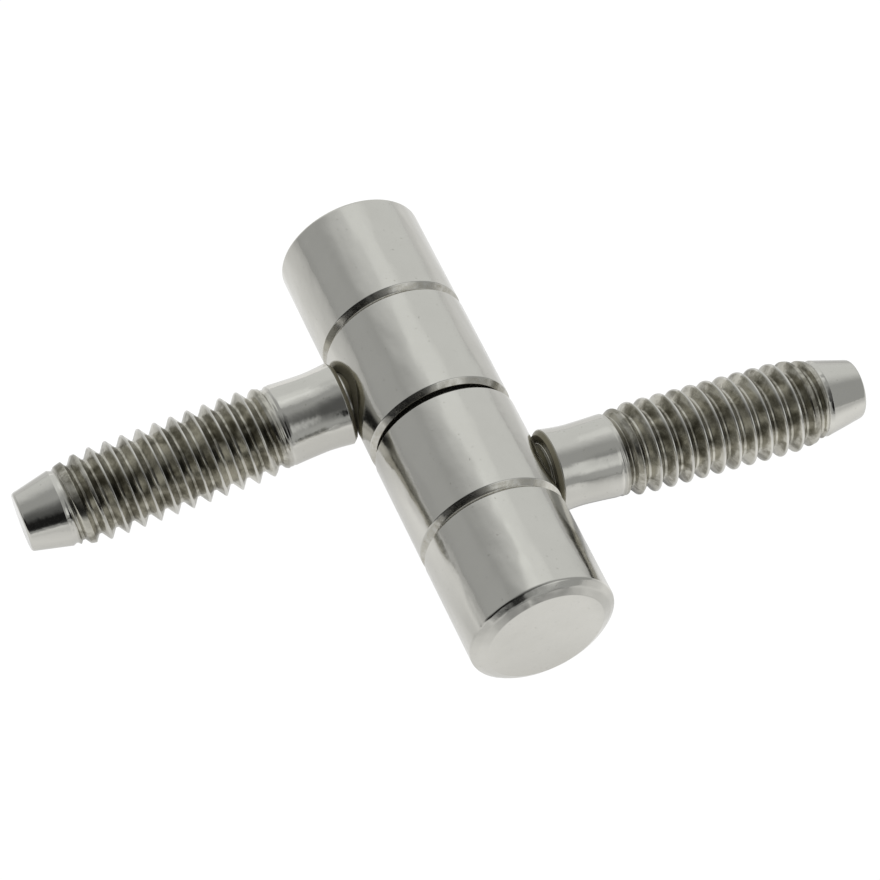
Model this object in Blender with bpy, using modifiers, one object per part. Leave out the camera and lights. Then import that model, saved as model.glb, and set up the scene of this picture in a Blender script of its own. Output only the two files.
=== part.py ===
"""Drill-in hinge lying at rest on a flat surface.

Two turned barrels meet end to end on one pin. Each barrel carries a stud with a coarse rolled
thread, which is driven into the frame or into the door. The pin is pressed into the frame's
barrel and the door's barrel turns on it and lifts off it. A thin washer runs between the two.

The pin's axis lies along Y. The frame's half is on the -Y side with its stud towards +X, and the
door's half is on the +Y side with its stud towards -X. The origin is on the surface below the
middle of the gap between the barrels. Both studs droop until their threads touch the surface.
"""

import math

import bmesh
import bpy
from mathutils import Matrix, Vector

# Barrels. Lengths along a barrel are counted from its bearing face.
BARREL_DIAMETER = 0.0130
BARREL_LENGTH = 0.0223
BEARING_GAP = 0.0004
BEARING_CHAMFER = 0.00045
END_CHAMFER_LENGTH = 0.0008
END_CHAMFER_DEPTH = 0.00125
GROOVE_FROM_FACE = 0.0111
GROOVE_WIDTH = 0.0010
GROOVE_DEPTH = 0.0005
DRILL_POINT_ANGLE = math.radians(118.0)

# Pin and washer
PIN_DIAMETER = 0.0070
PIN_SEAT_LENGTH = 0.0140
PIN_FREE_LENGTH = 0.0145
PIN_CHAMFER = 0.0006
WASHER_WIDTH = 0.0012          # from its hole to its rim
WASHER_THICKNESS = 0.0006

# Studs. Lengths along a stud are counted from the pin's axis or from the stud's tip.
STUD_FROM_FACE = 0.0065
STUD_REACH = 0.0361
SPIGOT_DIAMETER = 0.0052
SHOULDER_DIAMETER = 0.0077
SHOULDER_CHAMFER = 0.0003
WAIST_DIAMETER = 0.0071
NECK_END_DIAMETER = 0.0073
WAIST_POSITION = 0.6
THREAD_DIAMETER = 0.0081
THREAD_ROOT_DIAMETER = 0.00654
THREAD_PITCH = 0.0015
THREAD_FLANK_ANGLE = math.radians(35.0)
THREAD_CREST_WIDTH = 0.00008
THREAD_FROM_TIP = 0.0235
LEAD_FROM_TIP = 0.0080
RUN_OUT_LENGTH = 0.0015
THREAD_SINK = 0.00012         # how far the wound tooth reaches into the blank that carries it
TIP_DIAMETER = 0.0052
TIP_CONE_DIAMETER = 0.0067
TIP_CONE_LENGTH = 0.0038

# Clearances
SEAT_GAP = 0.0003
FIT_GAP = 0.00005
WASHER_GAP = 0.0001

# Facets
BARREL_SEGMENTS = 48
STUD_SEGMENTS = 20
CURVE_STEPS = 4
LEAD_STEPS = 20
MERGE_DISTANCE = 0.000001
SHARP_ANGLE = math.radians(30.0)

# Sizes that follow from the ones above
BARREL_RADIUS = BARREL_DIAMETER / 2
PIN_RADIUS = PIN_DIAMETER / 2
BORE_RADIUS = PIN_RADIUS + FIT_GAP
THREAD_RADIUS = THREAD_DIAMETER / 2
ROOT_RADIUS = THREAD_ROOT_DIAMETER / 2
WASHER_RADIUS = PIN_RADIUS + WASHER_GAP + WASHER_WIDTH
WASHER_RECESS = (WASHER_THICKNESS + 2 * SEAT_GAP - BEARING_GAP) / 2
SHOULDER_START = BARREL_RADIUS + SEAT_GAP
THREAD_START = STUD_REACH - THREAD_FROM_TIP

PARTS = "drill_in_hinge"
CUTTERS = "cutters"


def clear_scene():
    """Remove every object and the collections of an earlier run."""
    for obj in list(bpy.data.objects):
        bpy.data.objects.remove(obj, do_unlink=True)
    for collection in list(bpy.data.collections):
        bpy.data.collections.remove(collection)


def make_collection(name):
    collection = bpy.data.collections.new(name)
    bpy.context.scene.collection.children.link(collection)
    return collection


def make_material(name, colour, metallic, roughness):
    material = bpy.data.materials.new(name)
    material.use_nodes = True
    shader = material.node_tree.nodes["Principled BSDF"]
    shader.inputs["Base Color"].default_value = (*colour, 1.0)
    shader.inputs["Metallic"].default_value = metallic
    shader.inputs["Roughness"].default_value = roughness
    return material


def evaluated_mesh(obj, name):
    """Return what an object's modifiers make of it, and remove the object."""
    bpy.context.view_layer.update()
    graph = bpy.context.evaluated_depsgraph_get()
    mesh = bpy.data.meshes.new_from_object(obj.evaluated_get(graph))
    mesh.name = name
    bpy.data.objects.remove(obj, do_unlink=True)
    return mesh


def shade(mesh):
    mesh.shade_smooth()
    mesh.set_sharp_from_angle(angle=SHARP_ANGLE)
    return mesh


def add_object(name, mesh, collection):
    obj = bpy.data.objects.new(name, mesh)
    collection.objects.link(obj)
    return obj


def add_screw(obj, segments, pitch=0.0, turns=1):
    screw = obj.modifiers.new("Turning", "SCREW")
    screw.axis = "Z"
    screw.angle = 2 * math.pi
    screw.steps = segments
    screw.render_steps = segments
    screw.screw_offset = pitch
    screw.iterations = turns
    screw.use_merge_vertices = pitch == 0.0
    screw.merge_threshold = MERGE_DISTANCE


def turned_mesh(name, profile, segments):
    """Turn a profile of (radius, height) points, which runs down its outer side, round Z."""
    outline = bpy.data.meshes.new(name)
    edges = [(i, i + 1) for i in range(len(profile) - 1)]
    outline.from_pydata([(r, 0.0, z) for r, z in profile], edges, [])
    obj = add_object(name, outline, bpy.context.scene.collection)
    add_screw(obj, segments)
    return shade(evaluated_mesh(obj, name))


def boolean(obj, operation, other):
    modifier = obj.modifiers.new(other.name, "BOOLEAN")
    modifier.operation = operation
    modifier.solver = "EXACT"
    modifier.object = other


def barrel_profile(bore_depth):
    """Section of one barrel from its outer end down to its bearing face, then up its bore."""
    radius = BARREL_RADIUS
    point_height = BORE_RADIUS / math.tan(DRILL_POINT_ANGLE / 2)
    recess_radius = WASHER_RADIUS + WASHER_GAP
    return [
        (0.0, BARREL_LENGTH),
        (radius - END_CHAMFER_DEPTH, BARREL_LENGTH),
        (radius, BARREL_LENGTH - END_CHAMFER_LENGTH),
        (radius, GROOVE_FROM_FACE + GROOVE_WIDTH / 2),
        (radius - GROOVE_DEPTH, GROOVE_FROM_FACE),
        (radius, GROOVE_FROM_FACE - GROOVE_WIDTH / 2),
        (radius, BEARING_CHAMFER),
        (radius - BEARING_CHAMFER, 0.0),
        (recess_radius, 0.0),
        (recess_radius, WASHER_RECESS),
        (BORE_RADIUS, WASHER_RECESS),
        (BORE_RADIUS, bore_depth),
        (0.0, bore_depth + point_height),
    ]


def make_barrel(name, bore_depth, hub, material, parts, cutters):
    """A barrel with a blind bore for the pin and a cross hole for its stud's spigot."""
    barrel = add_object(name, turned_mesh(name, barrel_profile(bore_depth), BARREL_SEGMENTS), parts)
    barrel.data.materials.append(material)
    barrel.parent = hub

    hole_radius = SPIGOT_DIAMETER / 2 + FIT_GAP
    inner, outer = PIN_RADIUS / 2, BARREL_DIAMETER
    hole_profile = [(0.0, outer), (hole_radius, outer), (hole_radius, inner), (0.0, inner)]
    hole_mesh = turned_mesh(name + "_hole", hole_profile, STUD_SEGMENTS)
    hole = add_object(name + "_hole", hole_mesh, cutters)
    hole.hide_render = True
    hole.display_type = "WIRE"
    hole.parent = hub
    hole.matrix_local = stud_placement()
    boolean(barrel, "DIFFERENCE", hole)
    return barrel


def stud_placement():
    """Turn a piece that is built along Z to the stud's axis, which is the hub's X."""
    return Matrix.Translation((0.0, 0.0, STUD_FROM_FACE)) @ Matrix.Rotation(math.pi / 2, 4, "Y")


def neck_points():
    """The neck from the thread down to the shoulder, narrowest at its waist."""
    low = WAIST_DIAMETER / 2
    foot = SHOULDER_START + SHOULDER_CHAMFER
    waist = foot + WAIST_POSITION * (THREAD_START - foot)
    points = []
    for step in range(2 * CURVE_STEPS + 1):
        t = step / CURVE_STEPS - 1
        above = t < 0
        radius = (NECK_END_DIAMETER if above else SHOULDER_DIAMETER) / 2
        height = THREAD_START if above else foot
        points.append((low + (radius - low) * t * t, waist + (height - waist) * abs(t)))
    return points


def stud_core_profile():
    """Section of the stud without its thread, from its tip down to the end of its spigot."""
    spigot_end = BORE_RADIUS + SEAT_GAP
    shoulder = SHOULDER_DIAMETER / 2
    return [
        (0.0, STUD_REACH),
        (TIP_DIAMETER / 2, STUD_REACH),
        (TIP_CONE_DIAMETER / 2, STUD_REACH - TIP_CONE_LENGTH),
        (ROOT_RADIUS, STUD_REACH - TIP_CONE_LENGTH - THREAD_PITCH / 3),
        (ROOT_RADIUS, THREAD_START + RUN_OUT_LENGTH),
        *neck_points(),
        (shoulder - SHOULDER_CHAMFER, SHOULDER_START),
        (SPIGOT_DIAMETER / 2, SHOULDER_START),
        (SPIGOT_DIAMETER / 2, spigot_end),
        (0.0, spigot_end),
    ]


def crest_limit(height):
    """Radius of the thread's crest: it rises out of the tip's cone and sinks into the neck."""
    cone_end = STUD_REACH - TIP_CONE_LENGTH
    start = TIP_CONE_DIAMETER / 2 - THREAD_SINK
    lead = min(max((cone_end - height) / (LEAD_FROM_TIP - TIP_CONE_LENGTH), 0.0), 1.0)
    run_out = max((height - THREAD_START) / RUN_OUT_LENGTH, 0.0)
    rising = THREAD_RADIUS - (THREAD_RADIUS - start) * (1 - lead) ** 2
    sinking = ROOT_RADIUS + (THREAD_RADIUS - ROOT_RADIUS) * run_out
    return min(rising, sinking)


def thread_coil():
    """One tooth of the thread wound round the stud, with both of its ends closed."""
    foot = ROOT_RADIUS - THREAD_SINK
    inner = foot - THREAD_SINK
    half_crest = THREAD_CREST_WIDTH / 2
    half_foot = half_crest + (THREAD_RADIUS - foot) * math.tan(THREAD_FLANK_ANGLE)
    tooth = [
        (THREAD_RADIUS, half_crest),
        (THREAD_RADIUS, -half_crest),
        (foot, -half_foot),
        (inner, -half_foot),
        (inner, half_foot),
        (foot, half_foot),
    ]
    top = STUD_REACH - TIP_CONE_LENGTH
    turns = math.ceil((top - THREAD_START) / THREAD_PITCH)
    bottom = top - turns * THREAD_PITCH

    outline = bpy.data.meshes.new("tooth")
    count = len(tooth)
    edges = [(i, (i + 1) % count) for i in range(count)]
    outline.from_pydata([(r, 0.0, bottom + z) for r, z in tooth], edges, [])
    obj = add_object("tooth", outline, bpy.context.scene.collection)
    add_screw(obj, STUD_SEGMENTS, THREAD_PITCH, turns)
    mesh = evaluated_mesh(obj, "thread_coil")

    work = bmesh.new()
    work.from_mesh(mesh)
    for vertex in work.verts:
        radius = math.hypot(vertex.co.x, vertex.co.y)
        limit = max(crest_limit(vertex.co.z), foot)
        if radius > limit:
            vertex.co.x *= limit / radius
            vertex.co.y *= limit / radius
    open_edges = [edge for edge in work.edges if edge.is_boundary]
    bmesh.ops.holes_fill(work, edges=open_edges, sides=count)
    bmesh.ops.recalc_face_normals(work, faces=work.faces)
    work.to_mesh(mesh)
    work.free()
    return mesh


def stud_mesh():
    """The turned blank and its rolled thread, as one body.

    The coil is turned by half a facet, so that none of its edges falls on an edge of the blank.
    """
    scene = bpy.context.scene.collection
    coil = add_object("coil", thread_coil(), scene)
    coil.rotation_euler.z = math.pi / STUD_SEGMENTS
    blank = add_object("blank", turned_mesh("blank", stud_core_profile(), STUD_SEGMENTS), scene)
    boolean(blank, "UNION", coil)
    mesh = evaluated_mesh(blank, "stud")
    bpy.data.objects.remove(coil, do_unlink=True)
    return shade(mesh)


def make_pin(hub, material, parts):
    """Plain pin, chamfered at both ends. It runs from the frame's bore into the door's bore."""
    top, bottom = PIN_SEAT_LENGTH, -PIN_FREE_LENGTH
    profile = [
        (0.0, top),
        (PIN_RADIUS - PIN_CHAMFER, top),
        (PIN_RADIUS, top - PIN_CHAMFER),
        (PIN_RADIUS, bottom + PIN_CHAMFER),
        (PIN_RADIUS - PIN_CHAMFER, bottom),
        (0.0, bottom),
    ]
    pin = add_object("hinge_pin", turned_mesh("hinge_pin", profile, BARREL_SEGMENTS), parts)
    pin.data.materials.append(material)
    pin.parent = hub


def make_washer(hub, material, parts):
    """Flat ring that lies between the two bearing faces, half in the recess of each."""
    inner = PIN_RADIUS + WASHER_GAP
    half = WASHER_THICKNESS / 2
    profile = [(inner, half), (WASHER_RADIUS, half), (WASHER_RADIUS, -half), (inner, -half)]
    profile.append(profile[0])
    washer = add_object("thrust_washer", turned_mesh("thrust_washer", profile, BARREL_SEGMENTS), parts)
    washer.data.materials.append(material)
    washer.parent = hub
    washer.location.z = -BEARING_GAP / 2


def touching_angle(radius, distance):
    """Angle below level at which a ring on the stud, this far out, meets the surface."""
    return math.asin(BARREL_RADIUS / math.hypot(distance, radius)) - math.atan2(radius, distance)


def resting_droop():
    """Angle below level of a stud whose thread rests on the surface beside its barrel."""
    full = STUD_REACH - LEAD_FROM_TIP
    lead = LEAD_FROM_TIP - TIP_CONE_LENGTH
    heights = [full + lead * step / LEAD_STEPS for step in range(LEAD_STEPS + 1)]
    return min(touching_angle(crest_limit(height), height) for height in heights)


def make_hub(name, side, parts):
    """Empty on the pin's axis, at a bearing face. Its Z runs up the barrel and its X up the stud."""
    droop = resting_droop()
    along = Vector((0.0, side, 0.0))
    out = Vector((-side * math.cos(droop), 0.0, -math.sin(droop)))
    placement = Matrix((out, along.cross(out), along)).transposed().to_4x4()
    placement.translation = (0.0, side * BEARING_GAP / 2, BARREL_RADIUS)
    hub = add_object(name, None, parts)
    hub.empty_display_size = BARREL_RADIUS
    hub.matrix_world = placement
    return hub


def build():
    clear_scene()
    parts = make_collection(PARTS)
    cutters = make_collection(CUTTERS)
    nickel = make_material("polished_nickel", (0.66, 0.65, 0.61), 1.0, 0.14)
    steel = make_material("ground_steel", (0.55, 0.55, 0.54), 1.0, 0.25)
    nylon = make_material("black_nylon", (0.03, 0.03, 0.03), 0.0, 0.5)

    frame_hub = make_hub("frame_hub", -1.0, parts)
    door_hub = make_hub("door_hub", 1.0, parts)
    frame_bore = PIN_SEAT_LENGTH + SEAT_GAP
    door_bore = PIN_FREE_LENGTH - BEARING_GAP + SEAT_GAP
    make_barrel("frame_barrel", frame_bore, frame_hub, nickel, parts, cutters)
    make_barrel("door_barrel", door_bore, door_hub, nickel, parts, cutters)

    shared = stud_mesh()
    shared.materials.append(nickel)
    for name, hub in (("frame_stud", frame_hub), ("door_stud", door_hub)):
        stud = add_object(name, shared, parts)
        stud.parent = hub
        stud.matrix_local = stud_placement()

    make_pin(frame_hub, steel, parts)
    make_washer(frame_hub, nylon, parts)


build()
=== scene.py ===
"""Looks of a drill-in hinge: two polished nickel barrels on one pin, each with a threaded stud.

Every piece is drawn as an outline, turned or wound in its own place, and laid over the model of
the hinge that the frame holds. Lengths are in metres. The pin's axis lies along Y.
"""

import math

import bpy
from mathutils import Matrix, Vector


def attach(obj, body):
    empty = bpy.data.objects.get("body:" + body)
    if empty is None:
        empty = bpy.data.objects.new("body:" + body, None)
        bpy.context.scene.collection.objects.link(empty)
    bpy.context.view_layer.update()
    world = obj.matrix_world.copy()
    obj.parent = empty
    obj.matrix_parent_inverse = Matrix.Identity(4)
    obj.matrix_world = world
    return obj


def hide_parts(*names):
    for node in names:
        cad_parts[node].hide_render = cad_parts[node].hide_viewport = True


bl_info = {
    "name": "Drill-in Hinge",
    "version": (1, 0, 0),
    "blender": (4, 5, 0),
    "location": "View3D > Sidebar > Hinge",
    "description": "Turns the pieces of a drill-in hinge and sets the stage",
    "category": "Object",
}

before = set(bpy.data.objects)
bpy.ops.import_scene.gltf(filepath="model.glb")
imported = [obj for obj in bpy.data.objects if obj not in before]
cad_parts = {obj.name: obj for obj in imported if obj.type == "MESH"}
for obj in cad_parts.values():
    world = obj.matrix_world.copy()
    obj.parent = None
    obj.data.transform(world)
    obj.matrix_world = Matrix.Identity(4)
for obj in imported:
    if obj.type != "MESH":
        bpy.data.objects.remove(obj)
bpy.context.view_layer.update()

WELD = 0.000002                 # points closer than this become one
FULL_TURN, QUARTER_TURN = 2 * math.pi, math.pi / 2
SMOOTH_ANGLE = math.radians(38.0)
FRAME_SIDE, DOOR_SIDE = -1.0, 1.0


# ---------------------------------------------------------------- sizes and colours


def length(name, default, description):
    return bpy.props.FloatProperty(
        name=name, description=description, default=default, min=0.0, unit="LENGTH", precision=5
    )


def angle(name, degrees, description):
    return bpy.props.FloatProperty(
        name=name, description=description, default=math.radians(degrees), subtype="ANGLE"
    )


def share(name, default, description):
    return bpy.props.FloatProperty(
        name=name, description=description, default=default, min=0.0, max=1.0, subtype="FACTOR"
    )


def colour(name, default, description):
    return bpy.props.FloatVectorProperty(
        name=name, description=description, default=default,
        min=0.0, max=1.0, size=3, subtype="COLOR",
    )


class HINGE_PG_barrel(bpy.types.PropertyGroup):
    """Sizes of one barrel. Heights are counted from its bearing face."""

    radius: length("Radius", 0.0065, "Outer radius of the barrel")
    height: length("Length", 0.0223, "From the bearing face to the outer end")
    gap: length("Gap", 0.0004, "Between the bearing faces of the two barrels")
    bearing_chamfer: length("Bearing chamfer", 0.00045, "Chamfer round the bearing face")
    end_drop: length("End chamfer length", 0.0008, "Outer end's chamfer along the barrel")
    end_inset: length("End chamfer depth", 0.00125, "Outer end's chamfer across the barrel")
    groove_height: length("Groove height", 0.0111, "Middle of the ring groove")
    groove_width: length("Groove width", 0.0010, "Width of the ring groove at the surface")
    groove_depth: length("Groove depth", 0.0005, "Depth of the ring groove")
    bore: length("Bore radius", 0.00355, "Radius of the pin's bore")
    frame_bore: length("Frame bore depth", 0.0143, "Depth of the bore that the pin is pressed into")
    door_bore: length("Door bore depth", 0.0144, "Depth of the bore that turns on the pin")
    bore_point: length("Bore point", 0.00213, "Height of the drill's point at the end of the bore")
    recess: length("Recess radius", 0.0049, "Radius of the washer's recess")
    recess_depth: length("Recess depth", 0.0004, "Depth of the washer's recess")
    edge: length("Edge radius", 0.00009, "Rounding of the polished edges")
    segments: bpy.props.IntProperty(
        name="Segments", description="Facets round the barrel", default=192, min=24, max=512
    )


class HINGE_PG_stud(bpy.types.PropertyGroup):
    """Sizes of one stud. Distances are counted out from the pin's axis."""

    from_face: length("From bearing face", 0.0065, "The stud's axis above the bearing face")
    droop: angle("Droop", 4.9513, "The stud's slope below level as the hinge lies at rest")
    reach: length("Reach", 0.0361, "From the pin's axis to the stud's tip")
    spigot: length("Spigot radius", 0.0026, "Radius of the spigot in the barrel's cross hole")
    spigot_end: length("Spigot end", 0.00385, "Where the spigot ends inside the barrel")
    clearance: length("Clearance", 0.00005, "Between the spigot and its hole")
    shoulder: length("Shoulder radius", 0.00371, "Radius of the shoulder against the barrel")
    shoulder_start: length("Shoulder start", 0.00656, "Where the shoulder's flat face stands")
    shoulder_chamfer: length("Shoulder chamfer", 0.0004, "Chamfer of the shoulder's face")
    waist: length("Waist radius", 0.00353, "Smallest radius of the neck")
    waist_at: length("Waist", 0.0092, "Where the neck is smallest")
    blank: length("Blank radius", 0.00366, "Radius of the blank that the thread is rolled on")
    thread_start: length("Thread start", 0.0123, "Where the thread runs out towards the neck")
    run_out: length("Run-out", 0.0032, "Length over which the thread's crest rises")
    root_run_out: length("Root run-out", 0.0013, "Length over which the thread's root sinks in")
    seam_depth: length("Seam depth", 0.00005, "Depth of the fine seams where the thread runs out")
    crest: length("Crest radius", 0.00405, "Radius of the thread's crest")
    root: length("Root radius", 0.00323, "Radius of the thread's root")
    pitch: length("Pitch", 0.0015, "Distance from crest to crest")
    crest_width: length("Crest width", 0.00011, "Width of the thread's crest")
    root_width: length("Root width", 0.00022, "Width of the thread's root")
    crest_edge: length("Crest edge", 0.00005, "Rounding of the crest")
    root_edge: length("Root edge", 0.00014, "Rounding of the root")
    lead: length("Lead", 0.0042, "Length over which the crest rises behind the tip's cone")
    cone: length("Cone length", 0.0038, "Length of the tip's smooth cone")
    cone_foot: length("Cone foot radius", 0.00341, "Radius of the cone where the thread starts")
    end_groove: length("End groove radius", 0.00327, "Radius of the groove before the cone")
    tip: length("Tip radius", 0.0026, "Radius of the flat tip")
    tip_edge: length("Tip edge", 0.00028, "Rounding of the tip")
    segments: bpy.props.IntProperty(
        name="Segments", description="Facets round the stud", default=120, min=24, max=256
    )


class HINGE_PG_pin(bpy.types.PropertyGroup):
    """Sizes of the pin and of the washer on it."""

    radius: length("Pin radius", 0.0035, "Radius of the ground pin")
    seat: length("Seat length", 0.0140, "Length of the pin in the frame's barrel")
    free: length("Free length", 0.0145, "Length of the pin that the door's barrel turns on")
    chamfer: length("Pin chamfer", 0.0006, "Chamfer at the pin's ends")
    washer_inner: length("Washer hole", 0.0036, "Radius of the washer's hole")
    washer_outer: length("Washer rim", 0.0048, "Radius of the washer's rim")
    washer_height: length("Washer thickness", 0.0006, "Thickness of the washer")
    washer_edge: length("Washer edge", 0.00008, "Rounding of the moulded washer's edges")


class HINGE_PG_finish(bpy.types.PropertyGroup):
    """Colours and finishes, with the painted shade in thread, groove, seat and hole."""

    nickel: colour("Nickel", (0.615, 0.605, 0.565), "Polished nickel plating")
    nickel_dull: colour("Dull nickel", (0.50, 0.49, 0.45), "Plating with less polish")
    # Painted shade with dirt: darker, duller plating down at the bottom of the thread
    thread_dirt_and_shade: colour("Thread grime", (0.5, 0.484, 0.425), "Dull plating in the thread")
    # Dark stains with painted shade: darker blotches down at the bottom of the thread
    thread_stains_and_shade: colour("Thread stain", (0.16, 0.15, 0.115), "Dark stains in the thread")
    # Painted shade: darker plating, in speckles, down in the ring groove and on the bearing chamfer
    groove_shade: colour("Groove tint", (0.47, 0.45, 0.39), "Plating in the barrel's turned groove")
    # Painted shade with dirt: darker plating where stud and barrel meet
    seat_dirt_and_shade: colour("Seat grime", (0.23, 0.213, 0.155), "Plating where stud and barrel meet")
    # Painted shade with dirt: near black on the stud inside its hole
    hole_dirt_and_shade: colour("Hole grime", (0.09, 0.082, 0.055), "Plating of the stud inside its hole")
    steel: colour("Steel", (0.55, 0.55, 0.54), "Ground steel of the pin")
    bore_steel: colour("Bore steel", (0.40, 0.395, 0.37), "Drilled and reamed steel of the bores")
    nylon: colour("Nylon", (0.018, 0.018, 0.019), "Black nylon of the washer")
    polish: share("Polish roughness", 0.14, "Roughness of the polished plating")
    dull: share("Thread roughness", 0.2, "Roughness at the bottom of the thread")
    stained: share("Stain roughness", 0.26, "Roughness of the stains in the thread")
    groove_dull: share("Groove roughness", 0.3, "Roughness of the turned groove")
    seat_dull: share("Seat roughness", 0.35, "Roughness where stud and barrel meet")
    hole_dull: share("Hole roughness", 0.4, "Roughness of the stud inside its hole")
    # The seat's painted shade and dirt also take away this share of the metal's shine
    seat_film_and_shade: share("Seat film", 0.35, "How far a film hides the metal where stud and barrel meet")


class HINGE_PG_stage(bpy.types.PropertyGroup):
    """Floor, light and camera."""

    floor: colour("Floor", (0.36, 0.36, 0.36), "Plain pale floor")
    floor_size: length("Floor size", 6.0, "Side of the floor")
    shadeless: share("Shadeless", 0.94, "How far the floor in view is plain light, without shadows")
    whiteness: bpy.props.FloatProperty(
        name="Whiteness", description="Light of the floor in view", default=1.05, min=0.0
    )
    tint: colour("Light colour", (0.985, 1.0, 1.0), "Colour of the soft studio light")
    lens: bpy.props.FloatProperty(
        name="Lens", description="Focal length", default=164.69, min=1.0, unit="CAMERA"
    )


def sizes(name):
    return getattr(bpy.context.scene, "hinge_" + name)


# ---------------------------------------------------------------- drawing and turning


def deselect_all():
    if bpy.context.mode != "OBJECT":
        bpy.ops.object.mode_set(mode="OBJECT")
    bpy.ops.object.select_all(action="DESELECT")


def activate(obj):
    deselect_all()
    obj.select_set(True)
    bpy.context.view_layer.objects.active = obj


def rounded(corners, steps=5, support=0.00003):
    """Outline through (x, z, radius) corners, with each one's arc between two close points."""
    points = []
    for index, (x, z, radius) in enumerate(corners):
        here = Vector((x, z))
        if radius == 0.0 or index in (0, len(corners) - 1):
            points.append((x, z))
            continue
        back = Vector(corners[index - 1][:2]) - here
        ahead = Vector(corners[index + 1][:2]) - here
        half = back.angle(ahead) / 2
        reach = min(radius / math.tan(half), 0.45 * back.length, 0.45 * ahead.length)
        radius = reach * math.tan(half)
        back.normalize()
        ahead.normalize()
        centre = here + (back + ahead).normalized() * (radius / math.sin(half))
        start, end = here + back * reach, here + ahead * reach
        points.append(tuple(start + back * min(support, reach / 2)))
        first, last = start - centre, end - centre
        sweep = first.angle_signed(last)
        for step in range(steps + 1):
            turned = first.copy()
            turned.rotate(Matrix.Rotation(-sweep * step / steps, 2))
            points.append(tuple(centre + turned))
        points.append(tuple(end + ahead * min(support, reach / 2)))
    return points


def draw_outline(name, points):
    """Draw (radius, height) points in the XZ plane by extruding one vertex along them."""
    deselect_all()
    bpy.ops.mesh.primitive_plane_add(size=WELD, location=(points[0][0], 0.0, points[0][1]))
    obj = bpy.context.object
    obj.name = obj.data.name = name
    bpy.ops.object.transform_apply(location=True, rotation=True, scale=True)
    bpy.ops.object.mode_set(mode="EDIT")
    bpy.ops.mesh.select_all(action="SELECT")
    bpy.ops.mesh.merge(type="CENTER")
    for (r0, z0), (r1, z1) in zip(points, points[1:]):
        bpy.ops.mesh.extrude_region_move(
            TRANSFORM_OT_translate={"value": (r1 - r0, 0.0, z1 - z0)}
        )
    bpy.ops.object.mode_set(mode="OBJECT")
    return obj


def close_up(obj):
    """Weld the points that meet and turn every face outwards."""
    activate(obj)
    bpy.ops.object.mode_set(mode="EDIT")
    bpy.ops.mesh.select_all(action="SELECT")
    bpy.ops.mesh.remove_doubles(threshold=WELD)
    bpy.ops.mesh.dissolve_degenerate(threshold=WELD / 4)
    bpy.ops.mesh.normals_make_consistent(inside=False)
    bpy.ops.object.mode_set(mode="OBJECT")
    return obj


def turn(name, points, segments):
    """Spin an outline round Z."""
    obj = draw_outline(name, points)
    bpy.ops.object.mode_set(mode="EDIT")
    bpy.ops.mesh.select_all(action="SELECT")
    bpy.ops.mesh.spin(
        steps=segments, angle=FULL_TURN, center=(0.0, 0.0, 0.0), axis=(0.0, 0.0, 1.0)
    )
    bpy.ops.object.mode_set(mode="OBJECT")
    return close_up(obj)


def bore_out(obj, cutter):
    """Cut a hole with another piece, which is then gone."""
    activate(obj)
    bpy.ops.object.modifier_add(type="BOOLEAN")
    modifier = obj.modifiers[-1]
    modifier.operation = "DIFFERENCE"
    modifier.solver = "EXACT"
    modifier.object = cutter
    bpy.ops.object.modifier_apply(modifier=modifier.name)
    bpy.data.objects.remove(cutter, do_unlink=True)


def half_matrix(side):
    """Place of one half: Z runs up its barrel from the bearing face, and X out along its stud."""
    stud, barrel = sizes("stud"), sizes("barrel")
    up = Vector((0.0, side, 0.0))
    out = Vector((-side * math.cos(stud.droop), 0.0, -math.sin(stud.droop)))
    matrix = Matrix((out, up.cross(out), up)).transposed().to_4x4()
    matrix.translation = (0.0, side * barrel.gap / 2, barrel.radius)
    return matrix


def across_matrix():
    """Place of the stud in its half: Z runs out from the pin's axis to the tip."""
    up = Matrix.Translation((0.0, 0.0, sizes("stud").from_face))
    return up @ Matrix.Rotation(QUARTER_TURN, 4, "Y")


def put_in_place(obj, matrix):
    """Move a piece to its place, and put the place in its mesh."""
    activate(obj)
    obj.matrix_world = matrix @ obj.matrix_world
    bpy.ops.object.transform_apply(location=True, rotation=True, scale=True)


def finish_piece(obj, node, body, slot, *materials):
    """Smooth a piece, dress it, and let it stand for the node that it was drawn over."""
    activate(obj)
    bpy.ops.object.shade_smooth_by_angle(angle=SMOOTH_ANGLE)
    for material in materials:
        obj.data.materials.append(material)
    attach(obj, body)
    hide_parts(node)


# ---------------------------------------------------------------- nodes


def rgba(values):
    return (*values, 1.0)


def feed(tree, value, socket):
    """Give a socket a plain value, or link another socket to it."""
    if isinstance(value, bpy.types.NodeSocket):
        tree.links.new(value, socket)
    else:
        socket.default_value = value


def add_node(tree, kind, place, inputs=None, **settings):
    """Add a node with its settings, and feed its sockets."""
    node = tree.nodes.new("ShaderNode" + kind)
    node.location = place
    for key, value in settings.items():
        setattr(node, key, value)
    for key, value in (inputs or {}).items():
        feed(tree, value, node.inputs[key])
    return node


def math_node(tree, place, operation, *operands, clamp=False):
    """Result of a Math node whose operands are sockets or numbers."""
    inputs = dict(enumerate(operands))
    return add_node(tree, "Math", place, inputs, operation=operation, use_clamp=clamp).outputs[0]


def product(tree, place, *factors):
    """All the factors, multiplied by a row of Math nodes."""
    x, y = place
    total = factors[0]
    for index, factor in enumerate(factors[1:]):
        total = math_node(tree, (x + 170 * index, y), "MULTIPLY", total, factor)
    return total


def ramp(tree, place, value, start, end, top=1.0, bottom=0.0, curve="LINEAR"):
    """A change from bottom to top while the value goes from start to end."""
    inputs = {"Value": value, "From Min": start, "From Max": end, "To Min": bottom, "To Max": top}
    return add_node(tree, "MapRange", place, inputs, interpolation_type=curve).outputs["Result"]


def mixed(tree, place, share, first, second, kind="RGBA"):
    """A colour or a number between two others."""
    inputs = {"Factor": share, "A": first, "B": second}
    return add_node(tree, "Mix", place, inputs, data_type=kind).outputs["Result"]


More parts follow.
